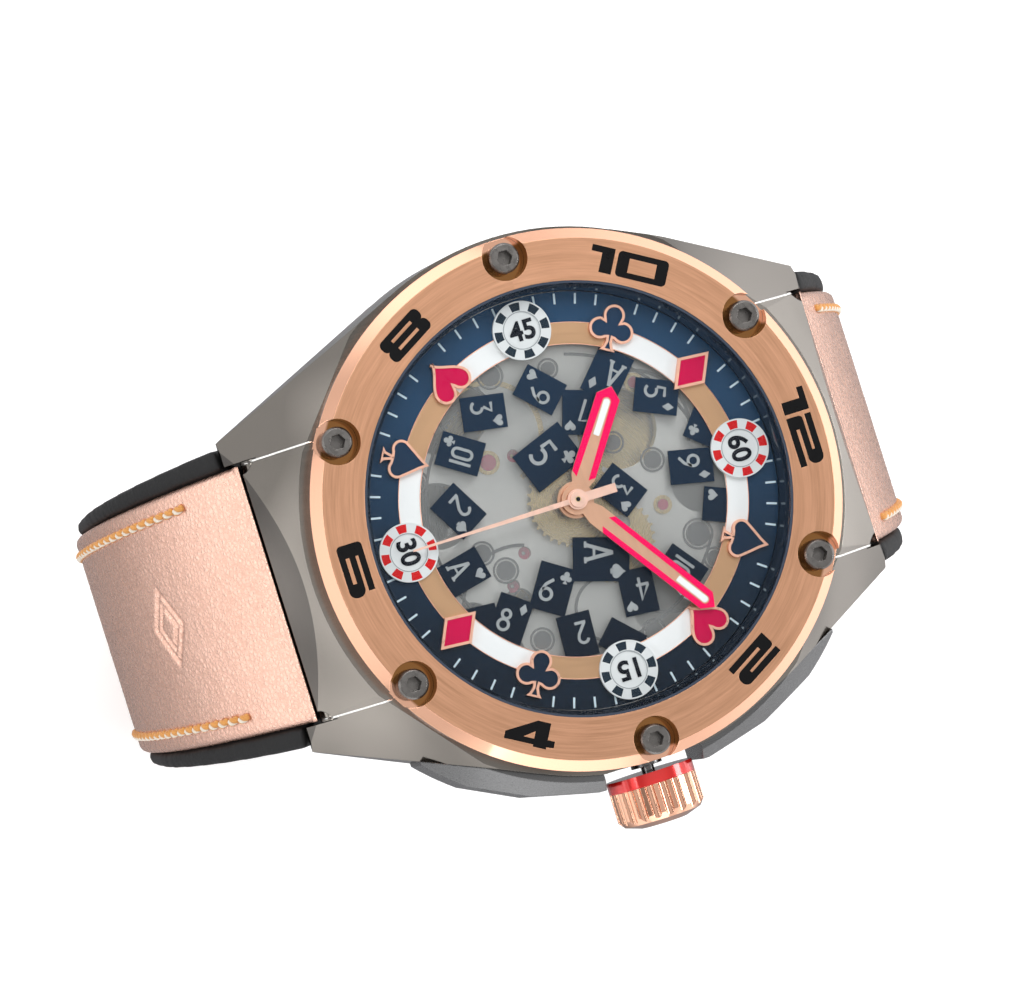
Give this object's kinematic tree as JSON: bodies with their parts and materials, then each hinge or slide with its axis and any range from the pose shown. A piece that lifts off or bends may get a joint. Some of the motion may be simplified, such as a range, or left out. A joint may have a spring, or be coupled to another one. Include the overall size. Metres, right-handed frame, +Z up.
{
  "type": "skeleton wristwatch",
  "caption": "Round skeleton wristwatch with a rose-gold screwed bezel, playing-card dial, visible gear train and a two-part leather and rubber strap closed by a hook clasp.",
  "frame": {"origin": "centre of the flat underside of the closed clasp, on the table", "axes": "+Z up, out through the dial; +Y towards 12 o'clock; +X towards 3 o'clock and the crown"},
  "size_m": [0.0476, 0.0648, 0.0674],
  "materials": {
    "case_steel": "brushed gunmetal",
    "dark_steel": "polished dark coating",
    "clasp_steel": "brushed",
    "plain_steel": "fine turned",
    "rotor_steel": "brushed",
    "nickel_plate": "fine grained plate",
    "blued_steel": "blued",
    "rose_gold": "brushed and polished rose gold plating",
    "gilt_brass": "gilt",
    "black_inlay": "gloss black enamel",
    "gasket_rubber": "satin",
    "seal_plastic": "satin",
    "sapphire": "clear",
    "frosted_disc": "frosted translucent",
    "navy_paint": "satin lacquer",
    "pale_print": "printed",
    "white_enamel": "satin enamel",
    "red_enamel": "satin enamel",
    "red_anodised": "gloss",
    "ruby": "polished synthetic ruby",
    "black_rubber": "matt",
    "rose_leather": "pebbled metallic"
  },
  "bodies": {
    "watch_case": {"case_middle": "case_steel", "crown_guard": "dark_steel", "bezel": "rose_gold", "bezel_numerals": "black_inlay", "bezel_screws": "dark_steel", "bezel_gasket": "gasket_rubber", "crystal": "sapphire", "crystal_gasket": "seal_plastic", "rehaut_ring": "navy_paint", "caseback_ring": "case_steel", "caseback_glass": "sapphire", "caseback_gasket": "gasket_rubber", "crown_tube": "plain_steel", "chapter_ring": "navy_paint", "minute_ticks": "pale_print", "white_segments": "white_enamel", "copper_segments": "rose_gold", "dial_disc": "frosted_disc", "card_tiles": "navy_paint", "chips": "white_enamel", "chip_red_inlays": "red_enamel", "chip_navy_inlays": "navy_paint", "chip_numerals": "black_inlay", "marker_frames": "rose_gold", "marker_navy_fills": "navy_paint", "marker_red_fills": "red_enamel", "movement_ring": "plain_steel", "main_plate": "nickel_plate", "barrel_bridge": "nickel_plate", "train_bridge": "nickel_plate", "balance_cock": "nickel_plate", "bridge_screws": "blued_steel", "jewels": "ruby", "rotor_bearing": "plain_steel", "lug_bars": "plain_steel"},
    "setting": {"setting_slide": "plain_steel"},
    "crown": {"winding_stem": "plain_steel", "crown": "rose_gold", "crown_ring": "red_anodised"},
    "seconds": {"seconds_wheel": "gilt_brass", "second_hand": "rose_gold"},
    "minutes": {"centre_wheel": "gilt_brass", "minute_hand": "rose_gold"},
    "hours": {"hour_wheel": "gilt_brass", "hour_hand": "rose_gold"},
    "motion_work": {"minute_wheel": "gilt_brass"},
    "third": {"third_wheel": "gilt_brass"},
    "escape": {"escape_wheel": "plain_steel"},
    "pallets": {"pallet_fork": "plain_steel"},
    "balance": {"balance_wheel": "gilt_brass", "hairspring": "blued_steel"},
    "barrel": {"mainspring_barrel": "gilt_brass"},
    "rotor": {"rotor": "rotor_steel"},
    "strap_12": {"strap_rubber_12": "black_rubber", "strap_leather_12": "rose_leather", "strap_end_12": "clasp_steel"},
    "strap_6": {"strap_rubber_6": "black_rubber", "strap_leather_6": "rose_leather", "strap_end_6": "clasp_steel"},
    "clasp": {"clasp_cover": "clasp_steel"}
  },
  "joints": [
    {"name": "seconds_turn", "type": "hinge", "parent": "watch_case", "child": "seconds", "pos_m": [0, 0, 0.0659], "axis": [0, 0, -1], "continuous": true},
    {"name": "minutes_turn", "type": "hinge", "parent": "watch_case", "child": "minutes", "pos_m": [0, 0, 0.0655], "axis": [0, 0, -1], "continuous": true},
    {"name": "hours_turn", "type": "hinge", "parent": "watch_case", "child": "hours", "pos_m": [0, 0, 0.0651], "axis": [0, 0, -1], "continuous": true},
    {"name": "minute_wheel_turn", "type": "hinge", "parent": "watch_case", "child": "motion_work", "pos_m": [0.0038, 0.0022, 0.0638], "axis": [0, 0, -1], "continuous": true},
    {"name": "third_wheel_turn", "type": "hinge", "parent": "watch_case", "child": "third", "pos_m": [-0.00472, -0.0033, 0.0589], "axis": [0, 0, -1], "continuous": true},
    {"name": "escape_wheel_turn", "type": "hinge", "parent": "watch_case", "child": "escape", "pos_m": [0.00275, -0.00476, 0.0613], "axis": [0, 0, -1], "continuous": true},
    {"name": "barrel_turn", "type": "hinge", "parent": "watch_case", "child": "barrel", "pos_m": [-0.00437, 0.00521, 0.0606], "axis": [0, 0, -1], "continuous": true},
    {"name": "pallet_swing", "type": "hinge", "parent": "watch_case", "child": "pallets", "pos_m": [0.00493, -0.00639, 0.0613], "axis": [0, 0, -1], "range_deg": [-6, 6]},
    {"name": "balance_swing", "type": "hinge", "parent": "watch_case", "child": "balance", "pos_m": [0.0075, -0.0083, 0.0604], "axis": [0, 0, -1], "range_deg": [-150, 150]},
    {"name": "rotor_spin", "type": "hinge", "parent": "watch_case", "child": "rotor", "pos_m": [0, 0, 0.0567], "axis": [0, 0, -1], "continuous": true},
    {"name": "crown_pull", "type": "slide", "parent": "watch_case", "child": "setting", "axis": [1, 0, 0], "range_m": [0, 0.0012]},
    {"name": "crown_turn", "type": "hinge", "parent": "setting", "child": "crown", "pos_m": [0.024, 0, 0.0608], "axis": [1, 0, 0], "continuous": true},
    {"name": "strap_12_swing", "type": "hinge", "parent": "watch_case", "child": "strap_12", "pos_m": [0, 0.0217, 0.0585], "axis": [1, 0, 0], "range_deg": [0, 12]},
    {"name": "strap_6_swing", "type": "hinge", "parent": "watch_case", "child": "strap_6", "pos_m": [0, -0.0217, 0.0585], "axis": [1, 0, 0], "range_deg": [-12, 0]},
    {"name": "clasp_open", "type": "hinge", "parent": "strap_12", "child": "clasp", "pos_m": [0, 0.0162, 0.0031], "axis": [1, 0, 0], "range_deg": [0, 80]}
  ],
  "couplings": [
    {"joint": "minutes_turn", "follows": "seconds_turn", "ratio": 0.016667},
    {"joint": "hours_turn", "follows": "seconds_turn", "ratio": 0.0013889},
    {"joint": "minute_wheel_turn", "follows": "seconds_turn", "ratio": -0.0055556},
    {"joint": "third_wheel_turn", "follows": "seconds_turn", "ratio": -0.13333},
    {"joint": "escape_wheel_turn", "follows": "seconds_turn", "ratio": -10},
    {"joint": "barrel_turn", "follows": "seconds_turn", "ratio": -0.002381},
    {"joint": "strap_6_swing", "follows": "strap_12_swing", "ratio": -1},
    {"joint": "clasp_open", "follows": "strap_12_swing", "ratio": 6.6667}
  ]
}
